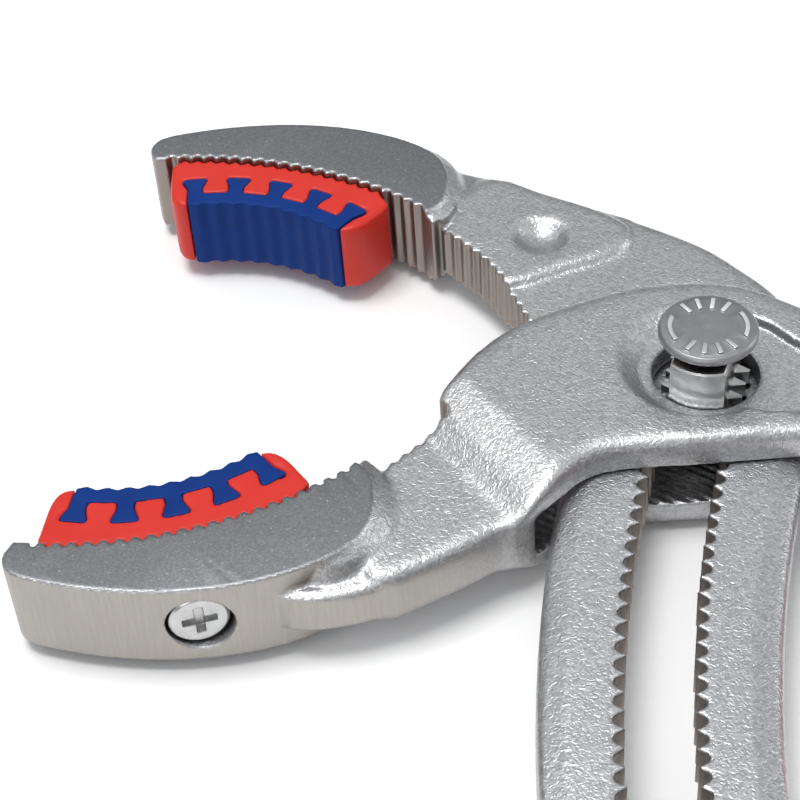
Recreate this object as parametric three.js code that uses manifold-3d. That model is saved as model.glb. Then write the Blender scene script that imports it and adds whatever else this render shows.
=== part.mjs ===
// Push-button pipe-gripping pliers: a box joint, a curved toothed slot and plastic jaw pads.
// Millimetres, +Z up. The origin is on the pivot axis, on the pivot stud's flat lower face.
// The jaws point along -X, the outer lever's handle along +X and the inner lever's along -Y.

import * as THREE from "three";
import { mergeVertices } from "three/addons/utils/BufferGeometryUtils.js";
import Module from "manifold-3d";

const wasm = await Module();
wasm.setup();

const rad = THREE.MathUtils.degToRad;

// ---- driving dimensions ----

const boxThickness = 15.0; // over both cheeks of the box joint
const studProud = 0.3; // stud face below the lower cheek
const slideThickness = 6.2; // inner lever where it runs in the box
const slideClearance = 0.2; // on each side of it
const jawThickness = 12.4;
const armThickness = 8.2; // raised middle of the forged arms and the handle bars
const webThickness = 6.2; // flat of the arm beside the jaw
const groundEdge = 0.25; // broken edge of the ground jaw faces
const heelRun = 2.8; // slope from each jaw's heel down to its arm
const boxRound = 1.8; // rounded edge of the box joint

const notchPitch = 2.5;
const notchCount = 25; // pivot positions along the slot
const slotRadius = 211.4;
const slotHeading = 158.3; // degrees, from the slot arc's centre to the pivot
const valleyHalf = 5.2; // slot centreline to notch bottom
const tipHalf = 3.7; // slot centreline to notch tip
const stripHalf = 11.4; // slot centreline to the strip's ridges
const stripTaper = 0.024; // half width lost per millimetre towards the handle
const stripBevel = 3.4; // width of the sloping strip outside each ridge
const stripDrop = 1.0; // its fall
const slotEndClearance = 0.9; // slot's round ends to the bolt's corners
const gripStart = 96; // slot arc length from the pivot to the inner grip

const holeRadius = 6.7; // bore in both cheeks
const dishRadius = 8.4; // floor of the dish round the upper bore
const dishDepth = 1.3;
const dishSlope = 1.7; // width of the dish's sloping wall
const stepRadius = 5.5; // smaller bore at the bottom of the lower cheek
const stepHeight = 0.8;

const boltEdge = 0.2;
const boltRunning = 0.1; // bolt end in the bores, and stud in its bore
const boltHalfWidth = 3.4; // plain flats of the bolt
const toothClearance = 0.15; // bolt teeth in the notches
const boltTeeth = 3; // on each side
const boltTeethHeight = 2.0;
const boltTeethRise = 0.35; // over the lever with the button up
const boltTop = 8.6; // over the inner lever's upper face
const pressTravel = 4.4;
const endGap = 0.15;
const springRadius = 2.0; // coil centreline
const springWire = 0.3; // wire radius
const springTurns = 7;
const springSeat = 1.0; // top of the spring bore over the lever's upper face
const springBore = 2.5;
const webHeight = 1.2; // bolt web that the stud passes through
const postRadius = 1.5;
const flangeHeight = 0.6;
const clipRadius = 2.3;
const clipHeight = 0.7;
const neckHeight = 0.8;
const neckRadius = 3.4;
const capRadius = 6.2;
const capHeight = 1.2;
const markHeight = 0.3; // raised marks on the button
const markWidth = 0.55;

const toothPitch = 1.85; // gripping teeth
const toothDepth = 0.8;
const toothArc = 54.5; // radius of the jaw's tooth line
const toothArcMid = 18.4; // its lowest point along the jaw
const toothArcSag = 3.2;
const jawReach = 40.6; // toothed length of the jaw

const padThickness = 11.0;
const padClearance = 0.2; // carrier to jaw teeth
const insertClearance = 0.03; // insert in its carrier
const gripArc = 26.7; // radius of the pad's gripping face
const gripArcX = 18.6;
const gripArcSag = 5.2; // its lowest point above the jaw's chord
const insertBand = 2.2; // thickness behind the gripping face
const footReach = 5.6; // gripping face to the feet's ends
const footCount = 5;
const footPitch = 11.3; // degrees about the gripping arc's centre
const footFirst = -23.2;
const footNeck = 1.05; // half width
const footBase = 1.75; // half width
const ribCount = 9;
const ribHeight = 0.5;

const screwX = 18.3; // along the jaw
const screwRadius = 2.0;
const screwClearance = 0.2;
const headRadius = 3.75;
const headHeight = 2.2;
const headRoom = 0.35; // counterbore round the head
const headSunk = 0.4; // head below the jaw's edge
const nutSide = 7.0;
const nutHeight = 2.2;
const nutRoom = 0.15;
const crossWidth = 1.1;
const crossLength = 4.2;
const crossDepth = 1.3;

const handleHalf = 5.8; // handle bar's flat, half width
const handleRound = 1.4;
const sleeveWall = 2.3; // grip sleeve over the bar's edge
const sleeveRound = 3.6;
const sleeveThickness = 12.4;
const sleeveGap = 0.15;
const sleeveFlare = 2.2; // thumb stop at the grip's start
const channelLeft = -27.6; // widest place of the box's channel
const channelRight = 17.6;

// ---- levels and places that follow ----

const midZ = boxThickness / 2 + studProud;
const leverTop = midZ + slideThickness / 2;
const leverBottom = midZ - slideThickness / 2;
const cheekBottom = studProud;
const cheekTop = cheekBottom + boxThickness;
const channelHalf = slideThickness / 2 + slideClearance;
const slotTurn = rad(slotHeading);
const slotCentre = new THREE.Vector2(-Math.cos(slotTurn), -Math.sin(slotTurn)).multiplyScalar(slotRadius);
const boltRadius = holeRadius - boltRunning;
const boltCorner = Math.sqrt(boltRadius ** 2 - boltHalfWidth ** 2); // along the slot from the pivot
const slotEndRoom = boltCorner - Math.sqrt(tipHalf ** 2 - boltHalfWidth ** 2) + slotEndClearance;
const flangeZ = cheekBottom + stepHeight;
const boltBottom = flangeZ + flangeHeight + endGap + pressTravel;
const boltHead = leverTop + boltTop;
const postTop = boltHead - pressTravel - endGap - neckHeight * 0.5;

// each jaw's own frame: tip end of the tooth line, heading of its chord, +1 where the mouth is on the left
const lowerJaw = { x: -84.1, y: -19.3, heading: 10.3, side: 1 };
const upperJaw = { x: -69.5, y: 54.0, heading: -22.7, side: -1 };

// ---- solids ----

function solidOf(geometry) {
  const bare = geometry.index ? geometry.toNonIndexed() : geometry;
  bare.deleteAttribute("normal");
  bare.deleteAttribute("uv");
  const merged = mergeVertices(bare, 1e-4);
  const mesh = new wasm.Mesh({
    numProp: 3,
    vertProperties: new Float32Array(merged.attributes.position.array),
    triVerts: new Uint32Array(merged.index.array),
  });
  return new wasm.Manifold(mesh);
}

function geometryOf(solid) {
  const mesh = solid.getMesh();
  const geometry = new THREE.BufferGeometry();
  geometry.setAttribute("position", new THREE.BufferAttribute(new Float32Array(mesh.vertProperties), 3));
  geometry.setIndex(new THREE.BufferAttribute(new Uint32Array(mesh.triVerts), 1));
  geometry.computeVertexNormals();
  return geometry;
}

function vec(x, y) {
  return new THREE.Vector2(x, y);
}

function points(pairs) {
  return pairs.map(([x, y]) => vec(x, y));
}

// plan outline between two levels; below its flats the sides swell out by width over a height, in a few steps
function slab(outline, low, high, width = 0, height = width, steps = 1) {
  const geometry = new THREE.ExtrudeGeometry(new THREE.Shape(outline), {
    depth: high - low - 2 * height,
    bevelEnabled: width > 0,
    bevelSize: width,
    bevelThickness: height,
    bevelSegments: steps,
    curveSegments: 1,
  });
  geometry.translate(0, 0, low + height);
  return solidOf(geometry);
}

function midSlab(outline, thickness, width, height, steps) {
  return slab(outline, midZ - thickness / 2, midZ + thickness / 2, width, height, steps);
}

function smooth(pairs, steps = 3, closed = true) {
  const curve = new THREE.CatmullRomCurve3(
    pairs.map(([x, y]) => new THREE.Vector3(x, y, 0)),
    closed,
    "centripetal",
  );
  const dots = curve.getPoints(steps * (closed ? pairs.length : pairs.length - 1));
  if (closed) dots.pop();
  return dots.map((p) => vec(p.x, p.y));
}

function rod(radius, low, high, sides = 32) {
  const geometry = new THREE.CylinderGeometry(radius, radius, high - low, sides);
  geometry.rotateX(Math.PI / 2);
  geometry.translate(0, 0, (low + high) / 2);
  return solidOf(geometry);
}

function turned(profile, sides = 36) {
  const geometry = new THREE.LatheGeometry(points(profile), sides);
  geometry.rotateX(Math.PI / 2);
  return solidOf(geometry);
}

function block(width, depth, height, x, y, z) {
  const geometry = new THREE.BoxGeometry(width, depth, height);
  geometry.translate(x, y, z);
  return solidOf(geometry);
}

// the same solid on the other side of the tool's middle plane
function mirrored(solid) {
  return solid.mirror([0, 0, 1]).translate([0, 0, 2 * midZ]);
}

// ---- the jaw's own frame ----

function jawPoint(jaw, x, y) {
  const turn = rad(jaw.heading);
  const across = y * jaw.side;
  return vec(
    jaw.x + x * Math.cos(turn) - across * Math.sin(turn),
    jaw.y + x * Math.sin(turn) + across * Math.cos(turn),
  );
}

function inJaw(jaw, outline) {
  const placed = outline.map((p) => jawPoint(jaw, p.x, p.y));
  return jaw.side < 0 ? placed.reverse() : placed;
}

// tooth line at a distance above it, by arc angle from its lowest point
function toothLinePoint(angle, above) {
  const reach = toothArc - above;
  return vec(toothArcMid + reach * Math.sin(angle), toothArc - toothArcSag - reach * Math.cos(angle));
}

function toothAngle(x) {
  return Math.asin((x - toothArcMid) / toothArc);
}

// crests on the tooth line and valleys below it, from one place along the jaw to another
function teeth(fromX, toX, above, roundness) {
  const pitch = toothPitch / toothArc;
  const from = Math.ceil(toothAngle(fromX) / pitch);
  const to = Math.floor(toothAngle(toX) / pitch);
  const outline = [];
  for (let n = from; n <= to; n += 1) {
    outline.push(toothLinePoint((n - roundness) * pitch, above));
    if (roundness > 0) outline.push(toothLinePoint((n + roundness) * pitch, above));
    if (n < to) {
      outline.push(toothLinePoint((n + 0.5 - roundness / 2) * pitch, above - toothDepth));
      if (roundness > 0) outline.push(toothLinePoint((n + 0.5 + roundness / 2) * pitch, above - toothDepth));
    }
  }
  return outline;
}

// sloping heel between the jaw's full thickness and its arm
function jawHeel(jaw) {
  const outline = smooth([
    [40.9, 0.6], [41.4, -3.4], [40.4, -7.4], [37.8, -10.4], [34.0, -11.6], [30.0, -9.0], [30.0, -5.6], [36.0, -1.6],
  ]).reverse();
  return midSlab(inJaw(jaw, outline), jawThickness - 0.5, heelRun, (jawThickness - webThickness) / 2 - 0.3, 2);
}

// jaw plate with its toothed edge; the comb removes what stands over the teeth
function jawSolid(jaw, roundness) {
  const back = smooth([
    [jawReach, 1.4], [41.7, -1.0], [41.4, -4.6], [40.2, -7.9], [37.6, -11.0], [33.0, -13.0], [25.0, -13.9],
    [16.4, -12.9], [9.0, -10.6], [2.4, -7.5], [-2.2, -4.3], [-2.6, -1.9], [-1.2, 0.1],
  ], 3, false);
  const front = [];
  for (let x = 0; x < jawReach; x += 4) front.push(toothLinePoint(toothAngle(x), -0.3));
  const plate = midSlab(inJaw(jaw, [...back, ...front].reverse()), jawThickness, groundEdge);
  const comb = teeth(-0.9, jawReach + 0.6, 0, roundness);
  const over = [vec(jawReach + 7, 7), vec(jawReach + 7, 12), vec(-4, 12)];
  return plate.add(jawHeel(jaw)).subtract(midSlab(inJaw(jaw, [...comb, ...over]), jawThickness + 2));
}

// fine saw teeth cut along a free edge, by a comb that lies on the edge's outer side
function edgeTeeth(pairs, outward) {
  const edge = new THREE.SplineCurve(points(pairs));
  const count = Math.floor(edge.getLength() / toothPitch);
  const near = [];
  const far = [];
  for (let n = 0; n <= count; n += 1) {
    const at = edge.getPointAt(n / count);
    const tangent = edge.getTangentAt(n / count);
    const normal = vec(-tangent.y, tangent.x).multiplyScalar(outward);
    near.push(at.clone().addScaledVector(normal, -0.65));
    if (n < count) near.push(edge.getPointAt((n + 0.8) / count).addScaledVector(normal, 0.05));
    far.push(at.clone().addScaledVector(normal, 3));
  }
  const outline = [...near, ...far.reverse()];
  return midSlab(THREE.ShapeUtils.area(outline) < 0 ? outline.reverse() : outline, jawThickness);
}

// stepped hole for the pad screw, along the jaw's depth
function alongScrew(jaw, radius, fromY, toY, sides = 24) {
  const geometry = new THREE.CylinderGeometry(radius, radius, toY - fromY, sides);
  geometry.translate(screwX, (fromY + toY) / 2, 0);
  return placeInJaw(jaw, solidOf(geometry));
}

function placeInJaw(jaw, solid) {
  const flipped = jaw.side < 0 ? solid.mirror([0, 1, 0]) : solid;
  return flipped.rotate([0, 0, jaw.heading]).translate([jaw.x, jaw.y, midZ]);
}

const jawEdgeY = -13.15; // jaw's outer edge at the screw
const headBottom = jawEdgeY + headSunk;
const headTop = headBottom + headHeight;
const padBackY = -toothArcSag + padClearance;
const nutBottom = padBackY + nutRoom;
const nutTop = nutBottom + nutHeight;

function screwHole(jaw) {
  const shank = alongScrew(jaw, screwRadius + screwClearance, headTop - 1, 3);
  return shank.add(alongScrew(jaw, headRadius + headRoom, -20, headTop + 0.1, 32));
}

// ---- strips that follow a curve ----

// outline on both sides of a curve, with round ends where asked
function stripOutline(at, half, count, roundStart, roundEnd) {
  const left = [];
  const right = [];
  for (let n = 0; n <= count; n += 1) {
    const { point, tangent } = at(n / count);
    const normal = vec(-tangent.y, tangent.x);
    left.push(point.clone().addScaledVector(normal, half(n / count)));
    right.push(point.clone().addScaledVector(normal, -half(n / count)));
  }
  return [...cap(at(0), half(0), -1, roundStart), ...right, ...cap(at(1), half(1), 1, roundEnd), ...left.reverse()];
}

function cap({ point, tangent }, half, forward, isRound) {
  if (!isRound) return [];
  const normal = vec(-tangent.y, tangent.x);
  const outline = [];
  for (const turn of [-60, -30, 0, 30, 60]) {
    const along = Math.cos(rad(turn)) * half * forward;
    const across = Math.sin(rad(turn)) * half * forward;
    outline.push(point.clone().addScaledVector(tangent, along).addScaledVector(normal, across));
  }
  return outline;
}

function slotPoint(arcLength, offset = 0) {
  const angle = slotTurn + arcLength / slotRadius;
  const reach = slotRadius + offset;
  return vec(slotCentre.x + reach * Math.cos(angle), slotCentre.y + reach * Math.sin(angle));
}

function curveAt(curve, from, to) {
  return (t) => {
    const u = from + (to - from) * t;
    return { point: curve.getPointAt(u), tangent: curve.getTangentAt(u) };
  };
}

// ---- inner lever: upper jaw, arm, slotted strip and handle ----

const slotLength = (notchCount - 1) * notchPitch;
const stripEnd = slotLength + 24;
const innerHandle = new THREE.QuadraticBezierCurve(slotPoint(stripEnd - 6), vec(-13.5, -130), vec(9.5, -171));
const outerHandle = new THREE.QuadraticBezierCurve(vec(16, -3), vec(72, -20), vec(146.5, -87));

// one notch: places along the pitch, and the share of its depth there
const notchProfile = [[-0.5, 0], [-0.3, 0.52], [-0.15, 0.93], [0.15, 0.93], [0.3, 0.52]];

function slotOutline() {
  const outline = [];
  const side = (sign, order) => {
    for (const n of order) {
      for (const [share, depth] of notchProfile) {
        const half = tipHalf + depth * (valleyHalf - tipHalf);
        outline.push(slotPoint((n + share * order.step) * notchPitch, sign * half));
      }
    }
  };
  const end = (sign) => {
    const middle = sign > 0 ? slotLength + slotEndRoom : -slotEndRoom;
    for (const turn of [-90, -60, -30, 0, 30, 60, 90]) {
      const along = Math.cos(rad(turn)) * tipHalf * sign;
      outline.push(slotPoint(middle + along, -Math.sin(rad(turn)) * tipHalf * sign));
    }
  };
  const notches = [];
  for (let n = -1; n <= notchCount; n += 1) notches.push(n);
  side(1, Object.assign([...notches], { step: 1 }));
  end(1);
  side(-1, Object.assign([...notches].reverse(), { step: -1 }));
  end(-1);
  return THREE.ShapeUtils.area(outline) < 0 ? outline.reverse() : outline;
}

function stripHalfAt(arcLength) {
  return stripHalf - stripTaper * Math.max(arcLength, 0);
}

function slottedStrip() {
  const from = 2;
  const at = (t) => {
    const s = from + (stripEnd - from) * t;
    const ahead = slotPoint(s + 0.5).sub(slotPoint(s - 0.5)).normalize();
    return { point: slotPoint(s), tangent: ahead };
  };
  const half = (t) => stripHalfAt(from + (stripEnd - from) * t) - Math.max(0, t - 0.9) * 40;
  return midSlab(stripOutline(at, half, 20, false, false), slideThickness, stripBevel, stripDrop);
}

function innerArm() {
  const web = smooth([
    [-30.9, 37.2], [-26.6, 29.8], [-24.0, 25.0], [-20.9, 16.3], [-18.5, 9.0], [-16.6, 1.0], [-8.0, -5.0], [6.0, -9.0],
    [13.4, -5.0], [15.0, 2.0], [14.4, 8.5], [11.5, 17.7], [8.3, 22.7], [4.0, 28.2], [-5.9, 35.9], [-16.4, 41.9],
    [-26.8, 48.9], [-34.0, 48.6], [-38.0, 45.6], [-34.0, 40.4],
  ]);
  const raised = smooth([
    [-29.4, 34.8], [-27.2, 39.6], [-25.0, 44.6], [-22.8, 45.6], [-16.8, 41.4], [-11.6, 38.0], [-8.0, 35.2],
    [-6.0, 32.4], [-6.6, 30.0], [-9.6, 28.0], [-15.6, 26.1], [-22.6, 23.9], [-24.0, 25.0], [-26.6, 29.8],
  ]);
  const web3d = midSlab(web, webThickness, 0.9, 0.5);
  return web3d.add(midSlab(raised, armThickness, 1.2, 1.0, 2));
}

function dimple() {
  const geometry = new THREE.SphereGeometry(5.2, 20, 14);
  geometry.translate(-17.3, 32.4, midZ + armThickness / 2 + 3.5);
  return solidOf(geometry);
}

function barHalf(share) {
  return handleHalf * (1 - 0.16 * share);
}

// bar along a handle's curve, made larger all round by grow for a sleeve's room
function handleBar(curve, from, grow = 0) {
  const half = (t) => barHalf(from + (1 - from) * t) + grow;
  const outline = stripOutline(curveAt(curve, from, 1), half, 14, false, true);
  return midSlab(outline, armThickness + 2 * grow, handleRound, handleRound, 2);
}

function innerLever() {
  const throat = [[-31.3, 35.9], [-26.6, 29.8], [-24.0, 25.0], [-20.9, 16.3], [-19.4, 12.0]];
  const pocket = rod(10.4, leverTop - 0.25, leverTop + 2, 36).translate([-0.4, 10.1, 0]);
  return slottedStrip()
    .add(innerArm())
    .subtract(pocket)
    .add(jawSolid(upperJaw, 0))
    .add(handleBar(innerHandle, 0.04))
    .subtract(midSlab(slotOutline(), slideThickness + 2))
    .subtract(edgeTeeth(throat, -1))
    .subtract(dimple())
    .subtract(mirrored(dimple()))
    .subtract(screwHole(upperJaw));
}

// ---- outer lever: lower jaw, arm, box joint and handle ----

// sloping shoulder between the box and a thinner neighbour: cuts away all that lies over a slope,
// which climbs from a foot line, and over the foot's level before it
function shoulder(footX, footY, heading, rise, run) {
  const before = block(40, 80, 20, -20, 0, 10);
  const over = before.rotate([0, THREE.MathUtils.radToDeg(Math.atan2(run, rise)), 0]);
  return before.add(over).rotate([0, 0, heading]).translate([footX, footY, midZ + armThickness / 2]);
}

function outerArm() {
  const web = smooth([
    [-58.0, -24.5], [-53.0, -27.9], [-47.0, -28.4], [-42.5, -27.4], [-37.7, -25.4], [-32.8, -23.1], [-28.0, -20.4],
    [-22.0, -17.0], [-18.0, -8.0], [-24.0, -1.0], [-31.5, -0.9], [-36.4, -5.6], [-39.5, -8.2], [-43.4, -11.5],
    [-48.0, -16.0], [-55.0, -20.0],
  ]);
  const raised = smooth([
    [-40.8, -9.8], [-40.6, -14.5], [-41.2, -19.5], [-42.4, -22.6], [-43.4, -25.2], [-42.3, -27.0], [-37.7, -25.4],
    [-32.8, -23.1], [-28.0, -20.4], [-22.0, -17.0], [-18.0, -8.0], [-24.0, -1.0], [-31.5, -0.9], [-36.4, -5.6],
  ]);
  return midSlab(web, webThickness, 0.9, 0.5).add(midSlab(raised, armThickness, 1.3, 1.3, 2));
}

function boxBlock() {
  const outline = smooth([
    [-34.6, -8.0], [-32.6, -2.3], [-28.0, 4.5], [-23.7, 8.8], [-14.2, 13.0], [-3.5, 15.3], [6.6, 13.8], [13.4, 8.7],
    [20.0, 4.6], [30.0, 0.6], [38.0, -3.4], [38.0, -16.9], [30.0, -15.2], [20.0, -12.9], [9.4, -11.7], [-4.0, -11.5],
    [-14.7, -11.6], [-18.5, -13.2], [-22.0, -16.2], [-27.0, -19.9], [-32.0, -18.0],
  ]);
  const rise = (boxThickness - armThickness) / 2;
  const upperSlope = shoulder(-28.4, -10.75, 31, 0.43 * rise, 4.6).translate([0, 0, 0.57 * rise]);
  const jawShoulder = shoulder(-31.3, -12.5, 31, rise, 6).add(upperSlope);
  const handleShoulder = shoulder(31.5, -7, 194, rise, 6);
  return midSlab(outline, boxThickness, boxRound, boxRound, 3)
    .subtract(jawShoulder)
    .subtract(mirrored(jawShoulder))
    .subtract(handleShoulder)
    .subtract(mirrored(handleShoulder));
}

// the room in which the inner lever slides and swings
function channel() {
  const outline = points([
    [-23.4, -34.0], [-23.6, -18.5], [-25.8, -9.0], [channelLeft, -3.0], [channelLeft - 1.6, -1.0], [-38.0, 2.0],
    [-38.0, 24.0], [30.0, 24.0], [25.0, 14.5], [20.5, 6.0], [channelRight, 0.0], [20.0, -6.0], [23.5, -14.0],
    [29.0, -26.0], [29.0, -34.0],
  ]).reverse();
  return midSlab(outline, 2 * channelHalf);
}

function dish() {
  const floor = cheekTop - dishDepth;
  const over = 1.0;
  const mouth = dishRadius + dishSlope * (1 + over / dishDepth);
  const cone = turned([[0, floor], [dishRadius, floor], [mouth, cheekTop + over], [0, cheekTop + over]], 40);
  const lean = new THREE.Matrix4().set(1, 0, -0.6, 0.6 * floor, 0, 1, 0.9, -0.9 * floor, 0, 0, 1, 0, 0, 0, 0, 1);
  return cone.transform(lean.elements);
}

// shallow panel that runs from the dish into the handle
function handlePanel() {
  const outline = smooth([
    [4.0, -8.0], [12.0, -9.3], [22.0, -11.2], [28.0, -9.0], [26.0, -3.5], [14.0, 1.0], [7.0, 8.5], [0, 6],
  ]);
  return slab(outline.reverse(), cheekTop - dishDepth, cheekTop + 2);
}

function outerLever() {
  const throat = [[-43.0, -11.3], [-39.5, -8.2], [-36.4, -5.6], [-33.4, -3.2], [-32.2, -1.5]];
  return boxBlock()
    .add(outerArm())
    .add(handleBar(outerHandle, 0.03))
    .subtract(edgeTeeth(throat, 1))
    .add(jawSolid(lowerJaw, 0.2))
    .subtract(channel())
    .subtract(rod(holeRadius, leverBottom - 1, cheekTop + 3, 48))
    .subtract(rod(holeRadius, flangeZ, leverBottom, 48))
    .subtract(rod(stepRadius, -2, flangeZ + 1, 40))
    .subtract(dish())
    .subtract(handlePanel())
    .subtract(screwHole(lowerJaw));
}

// ---- pivot: stud, clip, spring, toothed bolt and button ----

function pivotStud() {
  return turned([
    [0, 0], [stepRadius - boltRunning, 0], [stepRadius - boltRunning, flangeZ + 0.02],
    [boltRadius, flangeZ + 0.02], [boltRadius, flangeZ + flangeHeight], [postRadius, flangeZ + flangeHeight],
    [postRadius, postTop], [0, postTop],
  ]);
}

const clipZ = leverTop + springSeat + webHeight + 0.2;

function studClip() {
  const bore = postRadius + 0.1;
  const top = clipZ + clipHeight;
  const ring = turned([[bore, clipZ], [clipRadius, clipZ], [clipRadius, top], [bore, top], [bore, clipZ]], 24);
  return ring.subtract(block(3, 1.6, 4, 2.4, 0, clipZ));
}

class Helix extends THREE.Curve {
  constructor(radius, low, high, turns) {
    super();
    Object.assign(this, { radius, low, high, turns });
  }

  getPoint(t, target = new THREE.Vector3()) {
    const angle = t * this.turns * 2 * Math.PI;
    const z = this.low + (this.high - this.low) * t;
    return target.set(this.radius * Math.cos(angle), this.radius * Math.sin(angle), z);
  }
}

function returnSpring() {
  const room = springWire + 0.05;
  const path = new Helix(springRadius, flangeZ + flangeHeight + room, leverTop + springSeat - room, springTurns);
  const section = new THREE.Shape().absarc(0, 0, springWire, 0, 2 * Math.PI);
  return solidOf(
    new THREE.ExtrudeGeometry(section, {
      steps: springTurns * 9, bevelEnabled: false, extrudePath: path, curveSegments: 3,
    }),
  );
}

function boltOutline() {
  const reach = boltRadius - boltEdge;
  const corner = Math.asin((boltHalfWidth - boltEdge) / reach);
  const outline = [];
  for (const start of [0, Math.PI]) {
    for (let n = 0; n <= 6; n += 1) {
      const turn = start - corner + (2 * corner * n) / 6;
      outline.push(vec(reach * Math.cos(turn), reach * Math.sin(turn)));
    }
  }
  return outline;
}

// a tooth that sits in one notch of the slot, on either side
function boltTooth(n, sign) {
  const low = leverTop + boltTeethRise;
  const tip = valleyHalf - toothClearance;
  const outline = [
    slotPoint((n - 0.34) * notchPitch, sign * (boltHalfWidth - 0.8)),
    slotPoint((n - 0.34) * notchPitch, sign * boltHalfWidth),
    slotPoint((n - 0.08) * notchPitch, sign * tip),
    slotPoint((n + 0.08) * notchPitch, sign * tip),
    slotPoint((n + 0.34) * notchPitch, sign * boltHalfWidth),
    slotPoint((n + 0.34) * notchPitch, sign * (boltHalfWidth - 0.8)),
  ];
  const placed = THREE.ShapeUtils.area(outline) < 0 ? outline.reverse() : outline;
  return slab(placed, low, low + boltTeethHeight);
}

function lockingBolt() {
  const bar = slab(boltOutline(), boltBottom, boltHead, boltEdge).rotate([0, 0, slotHeading - 90]);
  const teethRoom = rod(boltRadius, leverTop, leverTop + 6, 48);
  const reach = (boltTeeth - 1) / 2;
  let bolt = bar;
  for (let n = -reach; n <= reach; n += 1) {
    for (const sign of [-1, 1]) bolt = bolt.add(boltTooth(n, sign).intersect(teethRoom));
  }
  const seat = leverTop + springSeat;
  return bolt
    .subtract(rod(springBore, boltBottom - 1, seat, 24))
    .subtract(rod(postRadius + 0.2, seat - 1, boltHead, 20))
    .subtract(rod(springBore, seat + webHeight, boltHead + 1, 24));
}

function pushButton() {
  const low = boltHead + 0.05;
  const rim = low + neckHeight;
  const top = rim + capHeight;
  const plug = springBore - 0.1;
  const body = turned([
    [0, low + 0.4], [plug - 0.6, low + 0.4], [plug - 0.6, low - 0.5], [plug, low - 0.5], [plug, low],
    [neckRadius, low], [neckRadius, rim], [capRadius - 0.3, rim], [capRadius, rim + 0.3], [capRadius, top - 0.35],
    [capRadius - 0.35, top], [3, top + 0.12], [0, top + 0.18],
  ]);
  let button = body;
  for (const side of [0, 1]) {
    const start = 20 + 180 * side;
    for (let n = 0; n < 4; n += 1) {
      const bar = block(1.9, markWidth, 0.6 + markHeight, 4.2, 0, top - 0.3 + markHeight / 2);
      button = button.add(bar.rotate([0, 0, start + 24 * n]));
    }
    button = button.add(arcMark(start + 98, start + 155, top));
  }
  return button.rotate([0, 0, 30]);
}

function arcMark(from, to, top) {
  const shape = new THREE.Shape();
  shape.absarc(0, 0, 5.0, rad(from), rad(to), false);
  shape.absarc(0, 0, 5.0 - markWidth, rad(to), rad(from), true);
  return slab(shape.getPoints(7).slice(0, -1), top - 0.6, top + markHeight);
}

// ---- jaw pads ----

function gripPoint(degrees, depth) {
  const reach = gripArc + depth;
  return vec(gripArcX + reach * Math.sin(rad(degrees)), gripArcSag + gripArc - reach * Math.cos(rad(degrees)));
}

function besideFoot(n, offset, depth) {
  const middle = footFirst + footPitch * n;
  return gripPoint(middle + THREE.MathUtils.radToDeg(offset / (gripArc + depth)), depth);
}

// insert: ribbed gripping band with dovetail feet; grow makes the carrier's pocket
function insertOutline(grow) {
  const last = footCount - 1;
  const outline = [];
  for (let n = 0; n <= last; n += 1) {
    const neckDepth = n === 0 ? -0.1 - grow * 10 : insertBand + grow;
    outline.push(besideFoot(n, -footNeck - grow, neckDepth));
    outline.push(besideFoot(n, -footNeck - grow, insertBand + 1.2));
    outline.push(besideFoot(n, -footBase - grow, footReach - 0.35));
    outline.push(besideFoot(n, -footBase - grow + 0.3, footReach + grow));
    outline.push(besideFoot(n, footBase + grow - 0.3, footReach + grow));
    outline.push(besideFoot(n, footBase + grow, footReach - 0.35));
    outline.push(besideFoot(n, footNeck + grow, insertBand + 1.2));
    if (n < last) outline.push(besideFoot(n, footNeck + grow, insertBand + grow));
  }
  const from = footFirst - THREE.MathUtils.radToDeg(footNeck / gripArc);
  const to = footFirst + footPitch * last + THREE.MathUtils.radToDeg(footNeck / gripArc);
  if (grow > 0) {
    outline.push(besideFoot(last, footNeck + grow, -3));
    outline.push(gripPoint(0, -8));
    outline.push(besideFoot(0, -footNeck - grow, -3));
    return outline;
  }
  const steps = ribCount * 4;
  for (let n = steps; n > 0; n -= 1) {
    const wave = 0.5 - 0.5 * Math.cos((2 * Math.PI * n) / 4);
    outline.push(gripPoint(from + ((to - from) * n) / steps, -ribHeight * wave));
  }
  return outline;
}

function padSlab(jaw, outline, thickness) {
  const anticlockwise = THREE.ShapeUtils.area(outline) < 0 ? [...outline].reverse() : outline;
  return midSlab(inJaw(jaw, anticlockwise), thickness);
}

function padInsert(jaw) {
  return padSlab(jaw, insertOutline(0), padThickness - 0.2);
}

function padCarrier(jaw, roundness) {
  const back = teeth(1.2, 34.6, padClearance, roundness);
  const body = smooth([[1.4, 0.6], [2.7, 4.0], [4.1, 7.0], [5.6, 8.1], [7.6, 7.9]], 2, false);
  const mouth = smooth([[29.9, 7.5], [31.4, 7.2], [32.7, 5.8], [33.9, 3.0], [34.8, 0.6]], 2, false);
  const grip = [-18, -9, 0, 9, 18].map((turn) => gripPoint(turn, 0.3));
  const outline = [...body, ...grip, ...mouth, ...back.reverse()];
  const nutSpace = nutSide + 2 * nutRoom;
  const nutDepth = nutHeight + 2 * nutRoom + 4;
  const nut = placeInJaw(jaw, block(nutSpace, nutDepth, nutSpace, screwX, nutTop + nutRoom - nutDepth / 2, 0));
  return padSlab(jaw, outline, padThickness)
    .subtract(padSlab(jaw, insertOutline(insertClearance), padThickness + 2))
    .subtract(nut);
}

function padNut(jaw) {
  const body = block(nutSide, nutHeight, nutSide, screwX, nutBottom + nutHeight / 2, 0);
  return placeInJaw(jaw, body).subtract(alongScrew(jaw, screwRadius + screwClearance / 2, -12, 4));
}

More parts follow.
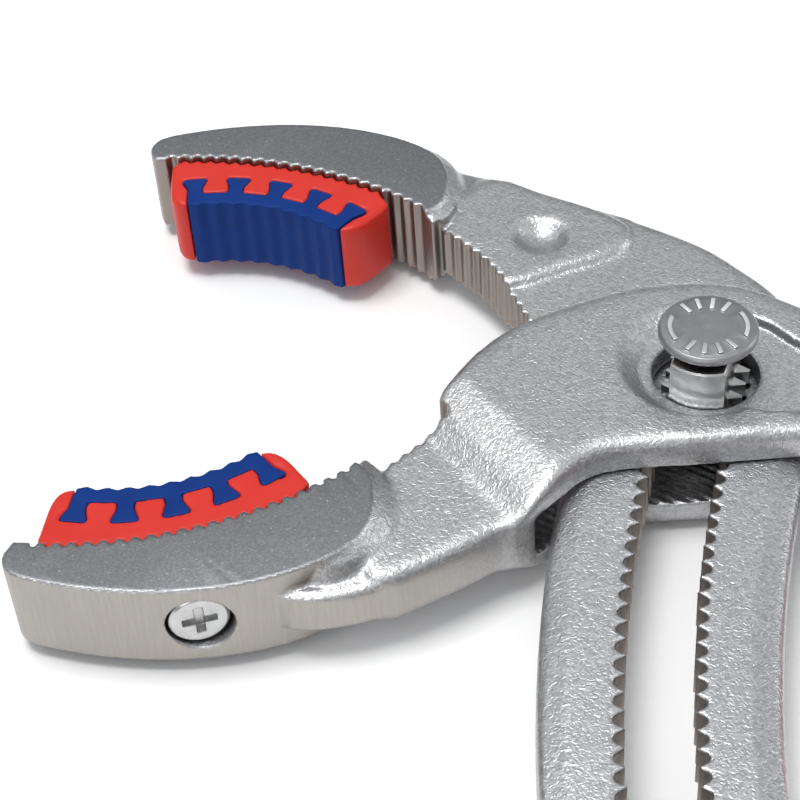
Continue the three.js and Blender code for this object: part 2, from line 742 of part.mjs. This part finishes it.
function padScrew(jaw) {
  const tip = nutTop - 0.1;
  const profile = [
    [0, headBottom], [headRadius - 0.4, headBottom], [headRadius, headBottom + 0.4], [headRadius, headTop],
    [screwRadius, headTop], [screwRadius, tip - 0.5], [screwRadius - 0.5, tip], [0, tip],
  ];
  const geometry = new THREE.LatheGeometry(points(profile), 28);
  geometry.translate(screwX, 0, 0);
  const wing = block(crossWidth, 2 * crossDepth, crossLength, screwX, headBottom, 0);
  const crossbar = block(crossLength, 2 * crossDepth, crossWidth, screwX, headBottom, 0);
  return placeInJaw(jaw, solidOf(geometry).subtract(wing).subtract(crossbar));
}

// ---- grips ----

function gripSleeve(curve, from) {
  const half = (t) => {
    const stop = sleeveFlare * Math.exp(-((t / 0.06) ** 2));
    const butt = 1.2 * Math.exp(-(((t - 1) / 0.12) ** 2));
    return barHalf(from + (1 - from) * t) + handleRound + sleeveWall - sleeveRound + stop + butt;
  };
  const outline = stripOutline(curveAt(curve, from, 1), half, 20, false, true);
  return midSlab(outline, sleeveThickness, sleeveRound, 3.0, 3).subtract(handleBar(curve, 0.04, sleeveGap));
}

// ---- the assembly ----

const finishes = {
  chrome: { color: 0xa9abae, roughness: 0.38, metalness: 1.0 },
  bright: { color: 0xc4c6c4, roughness: 0.28, metalness: 1.0 },
  spring: { color: 0x8d8f92, roughness: 0.4, metalness: 1.0 },
  carrier: { color: 0xe0382f, roughness: 0.42, metalness: 0.0 },
  insert: { color: 0x12368f, roughness: 0.5, metalness: 0.0 },
  sleeve: { color: 0xc8322c, roughness: 0.6, metalness: 0.0 },
};

const pliers = new THREE.Group();

function addPiece(name, solid, finish) {
  const material = new THREE.MeshStandardMaterial(finishes[finish]);
  const mesh = new THREE.Mesh(geometryOf(solid), material);
  mesh.name = name;
  pliers.add(mesh);
}

addPiece("outer_lever", outerLever(), "chrome");
addPiece("inner_lever", innerLever(), "chrome");
addPiece("pivot_stud", pivotStud(), "bright");
addPiece("stud_clip", studClip(), "spring");
addPiece("return_spring", returnSpring(), "spring");
addPiece("locking_bolt", lockingBolt(), "bright");
addPiece("push_button", pushButton(), "bright");
for (const [name, jaw, roundness] of [["lower", lowerJaw, 0.2], ["upper", upperJaw, 0]]) {
  addPiece(`${name}_pad_carrier`, padCarrier(jaw, roundness), "carrier");
  addPiece(`${name}_pad_insert`, padInsert(jaw), "insert");
  addPiece(`${name}_pad_nut`, padNut(jaw), "spring");
  addPiece(`${name}_pad_screw`, padScrew(jaw), "bright");
}
const innerGripFrom = (gripStart - (stripEnd - 6)) / innerHandle.getLength();
addPiece("outer_grip_sleeve", gripSleeve(outerHandle, 0.2), "sleeve");
addPiece("inner_grip_sleeve", gripSleeve(innerHandle, innerGripFrom), "sleeve");

export default pliers;
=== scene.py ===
import math

import bmesh
import bpy
from mathutils import Matrix, Vector


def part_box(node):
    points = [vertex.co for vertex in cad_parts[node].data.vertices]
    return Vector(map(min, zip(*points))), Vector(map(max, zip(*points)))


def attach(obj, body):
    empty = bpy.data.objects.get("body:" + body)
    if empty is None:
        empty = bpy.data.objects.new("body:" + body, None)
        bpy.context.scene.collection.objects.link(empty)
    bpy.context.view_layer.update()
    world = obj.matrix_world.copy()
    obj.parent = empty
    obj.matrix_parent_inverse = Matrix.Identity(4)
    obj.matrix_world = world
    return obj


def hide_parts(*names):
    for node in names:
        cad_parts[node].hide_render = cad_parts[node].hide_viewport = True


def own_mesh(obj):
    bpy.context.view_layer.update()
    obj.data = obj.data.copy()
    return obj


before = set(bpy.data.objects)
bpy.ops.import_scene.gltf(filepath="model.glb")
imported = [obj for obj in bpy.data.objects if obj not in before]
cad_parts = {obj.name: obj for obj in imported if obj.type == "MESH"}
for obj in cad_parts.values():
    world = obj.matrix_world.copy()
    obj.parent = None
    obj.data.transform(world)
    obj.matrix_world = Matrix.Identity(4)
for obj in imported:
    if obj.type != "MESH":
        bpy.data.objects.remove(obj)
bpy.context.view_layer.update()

print("frame loaded:", len(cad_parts), "nodes")

mm = 0.001
midZ = 7.8  # the tool's middle plane

# each jaw's tooth line starts at its tip and runs at this heading
jaws = {
    "lower": {"x": -84.1, "y": -19.3, "heading": 10.3, "side": 1, "body": "outer"},
    "upper": {"x": -69.5, "y": 54.0, "heading": -22.7, "side": -1, "body": "inner"},
}


# shader maths

class Value:
    # wraps an output socket, so that arithmetic on it adds Math nodes
    def __init__(self, tree, socket):
        self.tree = tree
        self.socket = socket

    def maths(self, operation, *others):
        node = self.tree.nodes.new("ShaderNodeMath")
        node.operation = operation
        for slot, given in zip(node.inputs, (self, *others)):
            if isinstance(given, Value):
                self.tree.links.new(given.socket, slot)
            else:
                slot.default_value = given
        return Value(self.tree, node.outputs[0])

    def __add__(self, other):
        return self.maths("ADD", other)

    def __radd__(self, other):
        return self.maths("ADD", other)

    def __sub__(self, other):
        return self.maths("SUBTRACT", other)

    def __rsub__(self, other):
        return self.maths("MULTIPLY_ADD", -1, other)

    def __mul__(self, other):
        return self.maths("MULTIPLY", other)

    def __rmul__(self, other):
        return self.maths("MULTIPLY", other)

    def __truediv__(self, other):
        return self.maths("DIVIDE", other)

    def __abs__(self):
        return self.maths("ABSOLUTE")

    def over(self, limit):
        return self.maths("GREATER_THAN", limit)

    def under(self, limit):
        return self.maths("LESS_THAN", limit)

    def high(self, other):
        return self.maths("MAXIMUM", other)

    # rises from 0 to 1 between two values
    def ramp(self, start, end):
        node = self.tree.nodes.new("ShaderNodeMapRange")
        node.interpolation_type = "SMOOTHSTEP"
        self.tree.links.new(self.socket, node.inputs["Value"])
        node.inputs["From Min"].default_value = start
        node.inputs["From Max"].default_value = end
        return Value(self.tree, node.outputs["Result"])


class Finish:
    # a material under way
    def __init__(self, name, **constants):
        self.material = bpy.data.materials.new(name)
        self.material.use_nodes = True
        self.tree = self.material.node_tree
        self.shader = self.tree.nodes["Principled BSDF"]
        for socket, constant in constants.items():
            self.shader.inputs[socket.replace("_", " ")].default_value = constant
        self.place = self.node("TexCoord").outputs["Object"]

    def node(self, kind, settings=None, **inputs):
        made = self.tree.nodes.new("ShaderNode" + kind)
        for name, setting in (settings or {}).items():
            setattr(made, name, setting)
        for name, given in inputs.items():
            self.feed(made.inputs[name.replace("_", " ")], given)
        return made

    def feed(self, socket, given):
        if isinstance(given, Value):
            given = given.socket
        if isinstance(given, bpy.types.NodeSocket):
            self.tree.links.new(given, socket)
        else:
            socket.default_value = given

    def value(self, socket):
        return Value(self.tree, socket)

    # object coordinates in millimetres
    def axes(self):
        split = self.node("SeparateXYZ", Vector=self.place)
        return [self.value(split.outputs[n]) * 1000 for n in range(3)]

    # 1 on faces that lie flat, 0 on upright walls
    def flatness(self):
        split = self.node("SeparateXYZ", Vector=self.node("NewGeometry").outputs["True Normal"])
        return abs(self.value(split.outputs[2]))

    # noise with grains of a size in millimetres, drawn out where stretch gives scales
    def grain(self, size, detail=2.0, rough=0.5, stretch=None, warp=0.0):
        where = self.place
        if stretch:
            where = self.node("Mapping", Vector=where, Scale=stretch).outputs[0]
        noise = self.node(
            "TexNoise", Vector=where, Scale=1000 / size, Detail=detail, Roughness=rough, Distortion=warp,
        )
        return self.value(noise.outputs["Fac"])

    def cells(self, size):
        node = self.node("TexVoronoi", {"feature": "F1"}, Vector=self.place, Scale=1000 / size)
        return self.value(node.outputs["Distance"])

    def mixed(self, share, first, second):
        node = self.node("Mix", {"data_type": "RGBA"})
        self.feed(node.inputs["Factor"], share)
        self.feed(node.inputs[6], first if isinstance(first, bpy.types.NodeSocket) else (*first, 1))
        self.feed(node.inputs[7], second if isinstance(second, bpy.types.NodeSocket) else (*second, 1))
        return node.outputs[2]

    def bump(self, height, depth, under=None):
        inputs = {"Height": height, "Distance": depth * mm, "Strength": 1.0}
        if under is not None:
            inputs["Normal"] = under
        return self.node("Bump", **inputs).outputs["Normal"]

    # 0 in the piece's own crevices, 1 on open surface
    def open(self, reach, low=0.45, high=0.95):
        settings = {"samples": 12, "only_local": True}
        crevice = self.node("AmbientOcclusion", settings, Distance=reach * mm)
        return self.value(crevice.outputs["AO"]).ramp(low, high)

    def finished(self, **sockets):
        for name, given in sockets.items():
            self.feed(self.shader.inputs[name.replace("_", " ")], given)
        return self.material


# shader values along and across a jaw
def jawCoordinates(x, y, jaw):
    turn = math.radians(jaw["heading"])
    along = (x - jaw["x"]) * math.cos(turn) + (y - jaw["y"]) * math.sin(turn)
    across = ((y - jaw["y"]) * math.cos(turn) - (x - jaw["x"]) * math.sin(turn)) * jaw["side"]
    return along, across


# millimetres along and across a jaw, and above the middle plane
def inJaw(jaw, point):
    turn = math.radians(jaw["heading"])
    x, y = point.x / mm - jaw["x"], point.y / mm - jaw["y"]
    along = x * math.cos(turn) + y * math.sin(turn)
    across = (y * math.cos(turn) - x * math.sin(turn)) * jaw["side"]
    return along, across, point.z / mm - midZ


# meshes

# an empty piece that stands for a CAD node
def standIn(node, body, material):
    piece = bpy.data.objects.new(node + "_shape", bpy.data.meshes.new(node + "_shape"))
    bpy.context.collection.objects.link(piece)
    piece.data.materials.append(material)
    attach(piece, body)
    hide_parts(node)
    return piece


def fill(piece, mesh):
    mesh.to_mesh(piece.data)
    mesh.free()
    for face in piece.data.polygons:
        face.use_smooth = True
        face.material_index = 0


# a merged copy of a node with its sharp edges broken
def brokenEdgeCopy(node, body, material, edge):
    piece = standIn(node, body, material)
    mesh = bmesh.new()
    mesh.from_mesh(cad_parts[node].data)
    bmesh.ops.remove_doubles(mesh, verts=mesh.verts, dist=0.003 * mm)
    bmesh.ops.dissolve_limit(
        mesh, angle_limit=math.radians(0.6), verts=mesh.verts, edges=mesh.edges,
        use_dissolve_boundaries=False,
    )
    bmesh.ops.dissolve_degenerate(mesh, edges=mesh.edges, dist=0.002 * mm)
    fill(piece, mesh)
    rounding = piece.modifiers.new("broken edges", "BEVEL")
    rounding.width = edge["width"] * mm
    rounding.segments = edge["segments"]
    rounding.limit_method = "ANGLE"
    rounding.angle_limit = math.radians(edge["angle"])
    rounding.use_clamp_overlap = True
    rounding.miter_outer = "MITER_ARC"
    piece.data.set_sharp_from_angle(angle=math.radians(edge["smooth"]))
    return piece


# the node's shape on an even grid
def evenGrid(node, size):
    rough = bpy.data.objects.new("rough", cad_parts[node].data.copy())
    bpy.context.collection.objects.link(rough)
    grid = rough.modifiers.new("even grid", "REMESH")
    grid.mode = "VOXEL"
    grid.voxel_size = size * mm
    even = bpy.data.meshes.new_from_object(rough.evaluated_get(bpy.context.evaluated_depsgraph_get()))
    bpy.data.objects.remove(rough)
    mesh = bmesh.new()
    mesh.from_mesh(even)
    return mesh


# a copy of a node that is smoothed more where weigh(along, across, level, x, y) is higher
def softCopy(node, jaw, material, soft, weigh):
    piece = standIn(node, jaw["body"], material)
    fill(piece, evenGrid(node, soft["grid"]))
    shares = {}
    for vertex in piece.data.vertices:
        share = round(weigh(*inJaw(jaw, vertex.co), vertex.co.x / mm, vertex.co.y / mm), 1)
        shares.setdefault(share, []).append(vertex.index)
    group = piece.vertex_groups.new(name="soft")
    for share, members in shares.items():
        if share > 0:
            group.add(members, min(share, 1.0), "REPLACE")
    smoothing = piece.modifiers.new("soft edges", "SMOOTH")
    smoothing.factor = 0.5
    smoothing.iterations = soft["passes"]
    smoothing.vertex_group = "soft"
    lighter = piece.modifiers.new("fewer faces", "DECIMATE")
    lighter.ratio = soft["kept"]


# climbs from 0 to 1 between two values
def rise(value, start, end):
    return min(max((value - start) / (end - start), 0.0), 1.0)


# camera, light and floor

cameraSetup = {
    "place": (-38.39, -187.68, 190.75),
    "target": (-38.39, 2.8, 10.9),
    "roll": -4.715,
    "lens": 92.86,
}


def addCamera():
    data = bpy.data.cameras.new("camera")
    data.lens = cameraSetup["lens"]
    data.sensor_width = 36
    data.clip_start = 0.01
    camera = bpy.data.objects.new("camera", data)
    bpy.context.collection.objects.link(camera)
    place = Vector(cameraSetup["place"]) * mm
    ahead = (Vector(cameraSetup["target"]) * mm - place).normalized()
    right = ahead.cross(Vector((0, 0, 1))).normalized()
    upward = right.cross(ahead)
    roll = math.radians(cameraSetup["roll"])
    rolledRight = right * math.cos(roll) + upward * math.sin(roll)
    rolledUp = upward * math.cos(roll) - right * math.sin(roll)
    turn = Matrix((rolledRight, rolledUp, -ahead)).transposed()
    camera.matrix_world = Matrix.Translation(place) @ turn.to_4x4()
    bpy.context.scene.camera = camera


lamps = [
    {"name": "overhead", "place": (-0.2, 0.0, 0.85), "size": 0.4, "power": 4.9},
    {"name": "front", "place": (-0.35, -0.7, 0.4), "size": 0.4, "power": 0.8},
    {"name": "side", "place": (0.7, 0.15, 0.4), "size": 0.3, "power": 0.8},
]


def addLamps():
    for lamp in lamps:
        data = bpy.data.lights.new(lamp["name"], "AREA")
        data.shape = "DISK"
        data.size = lamp["size"]
        data.energy = lamp["power"]
        light = bpy.data.objects.new(lamp["name"], data)
        bpy.context.collection.objects.link(light)
        place = Vector(lamp["place"])
        toward = (Vector((-0.03, 0.0, 0.01)) - place).to_track_quat("-Z", "Y")
        light.matrix_world = Matrix.Translation(place) @ toward.to_matrix().to_4x4()
    world = bpy.data.worlds.new("studio")
    world.use_nodes = True
    background = world.node_tree.nodes["Background"]
    nodes, links = world.node_tree.nodes, world.node_tree.links
    split = nodes.new("ShaderNodeSeparateXYZ")
    links.new(nodes.new("ShaderNodeTexCoord").outputs["Generated"], split.inputs[0])
    height = Value(world.node_tree, split.outputs[2]).ramp(0.0, 0.62)
    links.new((height * 0.56 + 0.08).socket, background.inputs["Strength"])
    background.inputs["Color"].default_value = (0.98, 0.99, 1.0, 1)
    bpy.context.scene.world = world


def addFloor():
    data = bpy.data.meshes.new("floor")
    floor = bpy.data.objects.new("floor", data)
    bpy.context.collection.objects.link(floor)
    mesh = bmesh.new()
    justBelow = Matrix.Translation((0, 0, -0.3 * mm))
    bmesh.ops.create_grid(mesh, x_segments=1, y_segments=1, size=3.0, matrix=justBelow)
    mesh.to_mesh(data)
    mesh.free()
    finish = Finish("paleFloor", Roughness=0.9)
    cloudy = finish.grain(400.0)
    finish.finished(Base_Color=finish.mixed(cloudy, (0.93, 0.93, 0.93), (0.95, 0.95, 0.95)))
    data.materials.append(finish.material)


bpy.context.scene.view_settings.view_transform = "Standard"
addCamera()
addLamps()
addFloor()
print("camera, lamps and floor set")

# forged levers

forging = {
    "plated": (0.57, 0.575, 0.588),
    "platedDark": (0.44, 0.445, 0.457),
    "ground": (0.20, 0.207, 0.217),
    "groundLight": (0.28, 0.29, 0.302),
    # the jaw's satin side: its darker warm tone is partly painted reflection
    "side": (0.42, 0.395, 0.367),
    "milled": (0.32, 0.285, 0.26),
    # painted shade for the levers' crevices
    "creviceShade": (0.09, 0.085, 0.08),
    "pebble": 0.62,
    "pebbleDepth": 0.1,
    "jawEnd": 44.0,  # along the jaw, where its ground face is over
    "faceLevel": 6.05,  # above the middle plane, just under the ground face
}

leverSoft = {"grid": 0.26, "passes": 110, "kept": 0.28}
slotArc = {"x": 196.42, "y": -78.16, "radius": 211.4, "half": 5.5, "ridge": 11.2}
boss = {"x": -17.0, "y": 33.0, "radius": 13.0}


# 1 on the levers' toothed walls: the serrated throat and the slot
def toothedWalls(x, y, jaw):
    if jaw["side"] > 0:
        return (x + 31.0).under(0) * (x + 43.5).over(0) * (y - 0.85 * (x + 31.0) + 3.0).over(0)
    fromCentre = ((x - slotArc["x"]).maths("POWER", 2) + (y - slotArc["y"]).maths("POWER", 2)).maths("SQRT")
    inSlot = abs(fromCentre - slotArc["radius"]).under(slotArc["half"] + 0.1)
    throat = y.over(9.0) * (x + 14.0).under(0) * (x * 0.9 + y * 0.45 + 8.0).under(0)
    return inSlot.high(throat)


def forgingFinish(name, jaw, lighter):
    finish = Finish(name, Metallic=1.0)
    x, y, z = finish.axes()
    along, across = jawCoordinates(x, y, jaw)
    level = abs(z - midZ)
    up = finish.flatness()
    wall = 1 - up.ramp(0.2, 0.5)
    onJawFace = level.over(6.0) * along.under(43.5) * up.ramp(0.8, 0.95)
    pebbles = finish.grain(forging["pebble"], detail=1.5, warp=1.2)
    speckle = finish.grain(0.3)
    glint = finish.grain(0.45, detail=1.0).ramp(0.68, 0.76)
    cloud = finish.grain(9.0)
    streaks = finish.grain(0.35, stretch=(1, 1, 0.06))
    # the pebble tone uses the same noise as the pebble bump: painted highlight on the raised grains and
    # painted shade in the hollows, over the plating's own tone
    plated = finish.mixed(pebbles.ramp(0.32, 0.62), forging["platedDark"], forging["plated"])
    ground = finish.mixed(speckle.ramp(0.3, 0.75) * 0.8 + lighter, forging["ground"], forging["groundLight"])
    ground = finish.mixed(glint * 0.5, ground, forging["plated"])
    # the jaw's outer side is satin, its darker warm tone partly painted reflection of the floor and
    # surroundings, and it fades into the plating; toothed walls are milled
    satinSideReflection = wall * (1 - along.ramp(40.0, 66.0)) * across.under(-1.0)
    toothed = wall * (across.over(-2.4) * along.under(43.0)).high(toothedWalls(x, y, jaw))
    side = finish.mixed(streaks.ramp(0.3, 0.7), forging["side"], tuple(c * 0.93 for c in forging["side"]))
    color = finish.mixed(onJawFace, plated, ground)
    color = finish.mixed(satinSideReflection, color, side)
    color = finish.mixed(toothed, color, forging["milled"])
    # painted shade: the piece's own crevices, found by ambient occlusion, are darkened toward near-black
    color = finish.mixed((1 - finish.open(4.5, 0.4, 0.97)) * 0.7, color, forging["creviceShade"])
    smoothed = satinSideReflection.high(toothed)
    normal = finish.bump(pebbles * ((1 - onJawFace) * (1 - smoothed)), forging["pebbleDepth"])
    normal = finish.bump(speckle * onJawFace, 0.02, normal)
    normal = finish.bump(streaks * smoothed, 0.02, normal)
    if jaw["side"] > 0:
        # diagonal milling lines on the channel's floor
        cheekFloor = level.under(3.6) * level.over(3.2) * along.over(50) * up.over(0.9)
        lines = ((x * 0.6 + y * 0.8) * 5.2).maths("SINE") * cheekFloor
        normal = finish.bump(lines, 0.05, normal)
    rough = 0.36 + cloud * 0.06 + onJawFace * 0.10 + wall * 0.04
    return finish.finished(Base_Color=color, Roughness=rough, Normal=normal)


# the ground jaws, the bores, the channel and the teeth stay crisp; the rest is a soft forging
def jawSoftness(along, across, level):
    if abs(level) > forging["faceLevel"] and along < forging["jawEnd"]:
        return 0.0
    return rise(along, 36.5, 41.0) if across > -11.5 else rise(along, 32.0, 42.0)


def lowerSoftness(along, across, level, x, y):
    toPin = math.hypot(x, y)
    if toPin < 13.0:
        return 0.14 * rise(toPin, 6.9, 7.5) if abs(level) > 6.0 else 0.0
    inChannel = 0.06 if abs(level) < 3.6 and toPin < 34 and along > 56 else 1.0
    throat = 0.2 if along < 60.0 and across > -1.2 else 1.0
    return min(jawSoftness(along, across, level), inChannel, throat)


def upperSoftness(along, across, level, x, y):
    fromArc = abs(math.hypot(x - slotArc["x"], y - slotArc["y"]) - slotArc["radius"])
    slotWall = rise(fromArc, slotArc["half"], slotArc["half"] + 1.2) if y < 10.0 else 1.0
    ridge = 0.08 if y < 4.0 and abs(fromArc - slotArc["ridge"]) < 1.5 else 1.0
    inThroat = along > 38.0 and across > -2.0 and y > 9.0 and x < -14.0 and x * 0.93 + y * 0.37 < -11.2
    onBoss = math.hypot(x - boss["x"], y - boss["y"]) < boss["radius"]
    throat = 0.04 if inThroat else 1.0
    return min(jawSoftness(along, across, level), slotWall, ridge, throat, 0.3 if onBoss else 1.0)


for side, node, softness, lighter in [
    ("lower", "outer_lever", lowerSoftness, 0.0),
    ("upper", "inner_lever", upperSoftness, 0.12),
]:
    finish = forgingFinish(side + "Forging", jaws[side], lighter)
    softCopy(node, jaws[side], finish, leverSoft, softness)
print("levers done")

# pads

pads = {
    "red": (0.56, 0.020, 0.012),
    "redLight": (0.62, 0.030, 0.018),
    "blue": (0.0, 0.022, 0.15),
    "blueLight": (0.0, 0.034, 0.21),
    "blueCreviceShade": (0.001, 0.008, 0.05),
    "redCreviceShade": (0.42, 0.012, 0.01),
    "scuff": (0.30, 0.38, 0.60),
}
gripArc = {"along": 18.6, "across": 31.9, "radius": 26.7}
carrierSoft = {"grid": 0.22, "passes": 110, "kept": 0.35}
insertSoft = {"grid": 0.18, "passes": 14, "kept": 0.4}


def carrierFinish():
    finish = Finish("redPlastic", Subsurface_Weight=0.1, Subsurface_Scale=0.002, Specular_IOR_Level=0.35)
    finish.shader.inputs["Subsurface Radius"].default_value = (1.0, 0.25, 0.12)
    cloud = finish.grain(5.0)
    fine = finish.grain(0.35, detail=3.0)
    color = finish.mixed(cloud, pads["red"], pads["redLight"])
    # painted shade: the carrier's own crevices, found by ambient occlusion, are darkened
    color = finish.mixed((1 - finish.open(1.5, 0.4, 0.95)) * 0.8, color, pads["redCreviceShade"])
    return finish.finished(
        Base_Color=color, Roughness=0.34 + cloud * 0.12, Normal=finish.bump(fine, 0.006),
    )


def insertFinish():
    finish = Finish("bluePlastic", Specular_IOR_Level=0.16)
    cloud = finish.grain(3.0)
    fine = finish.grain(0.3, detail=3.0)
    scuff = finish.grain(1.1, detail=4.0, rough=0.7).ramp(0.70, 0.78)
    color = finish.mixed(cloud, pads["blue"], pads["blueLight"])
    # painted shade: the insert's own crevices, found by ambient occlusion, are darkened
    color = finish.mixed((1 - finish.open(1.6, 0.5, 0.98)) * 0.9, color, pads["blueCreviceShade"])
    color = finish.mixed(scuff * 0.3, color, pads["scuff"])
    return finish.finished(
        Base_Color=color, Roughness=0.46 + cloud * 0.12, Normal=finish.bump(fine, 0.008),
    )


# the carrier's free ends are well rounded, its other outer rims a little
def carrierSoftness(along, across, *place):
    beyondFirst = 3.1 + 0.57 * across - along
    beyondLast = along + 0.33 * across - 31.8
    tooth = rise(across, 0.0, 1.6)
    return max(rise(beyondFirst, 0.0, 0.9), rise(beyondLast, 0.0, 0.9)) * tooth + 0.1


# only the ribbed gripping face is softened, so that the feet stay flush
def insertSoftness(along, across, *place):
    depth = math.hypot(along - gripArc["along"], across - gripArc["across"]) - gripArc["radius"]
    return 1 - rise(depth, 0.4, 1.4)


redPlastic = carrierFinish()
bluePlastic = insertFinish()
for side, jaw in jaws.items():
    softCopy(side + "_pad_carrier", jaw, redPlastic, carrierSoft, carrierSoftness)
    softCopy(side + "_pad_insert", jaw, bluePlastic, insertSoft, insertSoftness)
print("pads done")

# turned steel pieces

steel = {
    "bright": (0.66, 0.665, 0.66),
    "dark": (0.40, 0.40, 0.40),
    "edge": {"width": 0.12, "segments": 2, "angle": 35, "smooth": 45},
    "boltEdge": {"width": 0.2, "segments": 2, "angle": 35, "smooth": 45},
    "wireEdge": {"width": 0.04, "segments": 1, "angle": 50, "smooth": 60},
}
button = {
    "top": (0.42, 0.425, 0.43),
    "topDark": (0.26, 0.262, 0.265),
    "marks": (0.80, 0.80, 0.80),
    "neckShade": (0.10, 0.08, 0.07),
    "neckTop": 1.35,  # over the button's lowest point
}


def turnedFinish(name, lightness, roughness):
    finish = Finish(name, Metallic=1.0)
    brushed = finish.grain(0.25)
    cloud = finish.grain(2.4)
    bright = tuple(c * lightness for c in steel["bright"])
    color = finish.mixed(cloud * 0.6 + brushed * 0.4, steel["dark"], bright)
    return finish.finished(
        Base_Color=color, Roughness=roughness + cloud * 0.14, Normal=finish.bump(brushed, 0.004),
    )


# painted shade on the neck under the head, greyer top and light raised marks
def buttonFinish():
    finish = Finish("buttonSteel", Metallic=1.0)
    z = finish.axes()[2]
    low, high = (corner[2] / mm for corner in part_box("push_button"))
    brushed = finish.grain(0.25)
    cloud = finish.grain(2.4)
    color = finish.mixed(cloud * 0.5 + brushed * 0.5, button["topDark"], button["top"])
    color = finish.mixed(z.ramp(high - 0.14, high - 0.06), color, button["marks"])
    # painted shade: the band under the head is nearly black
    color = finish.mixed(z.under(low + button["neckTop"]), color, button["neckShade"])
    return finish.finished(
        Base_Color=color, Roughness=0.34 + cloud * 0.14, Normal=finish.bump(brushed, 0.008),
    )


brightSteel = turnedFinish("brightSteel", 1.1, 0.22)
springSteel = turnedFinish("springSteel", 0.8, 0.3)
brokenEdgeCopy("pivot_stud", "pivot", brightSteel, steel["edge"])
brokenEdgeCopy("locking_bolt", "bolt", brightSteel, steel["boltEdge"])
brokenEdgeCopy("push_button", "bolt", buttonFinish(), steel["edge"])
for side, jaw in jaws.items():
    brokenEdgeCopy(side + "_pad_screw", jaw["body"], brightSteel, steel["edge"])
    brokenEdgeCopy(side + "_pad_nut", jaw["body"], springSteel, steel["edge"])
brokenEdgeCopy("stud_clip", "pivot", springSteel, steel["wireEdge"])
spring = brokenEdgeCopy("return_spring", "pivot", springSteel, steel["wireEdge"])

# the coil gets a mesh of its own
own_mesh(spring)
print("steel pieces done")

# grips

grips = {
    "red": (0.50, 0.022, 0.018),
    "redLight": (0.56, 0.03, 0.024),
    "edge": {"width": 0.5, "segments": 3, "angle": 30, "smooth": 60},
}


def gripFinish():
    finish = Finish("redVinyl", Specular_IOR_Level=0.4)
    cloud = finish.grain(12.0)
    return finish.finished(
        Base_Color=finish.mixed(cloud, grips["red"], grips["redLight"]),
        Roughness=0.5 + cloud * 0.1,
        Normal=finish.bump(finish.cells(1.2), 0.03),
    )


redVinyl = gripFinish()
for node, body in [("outer_grip_sleeve", "outer"), ("inner_grip_sleeve", "inner")]:
    brokenEdgeCopy(node, body, redVinyl, grips["edge"])
print("grips done")
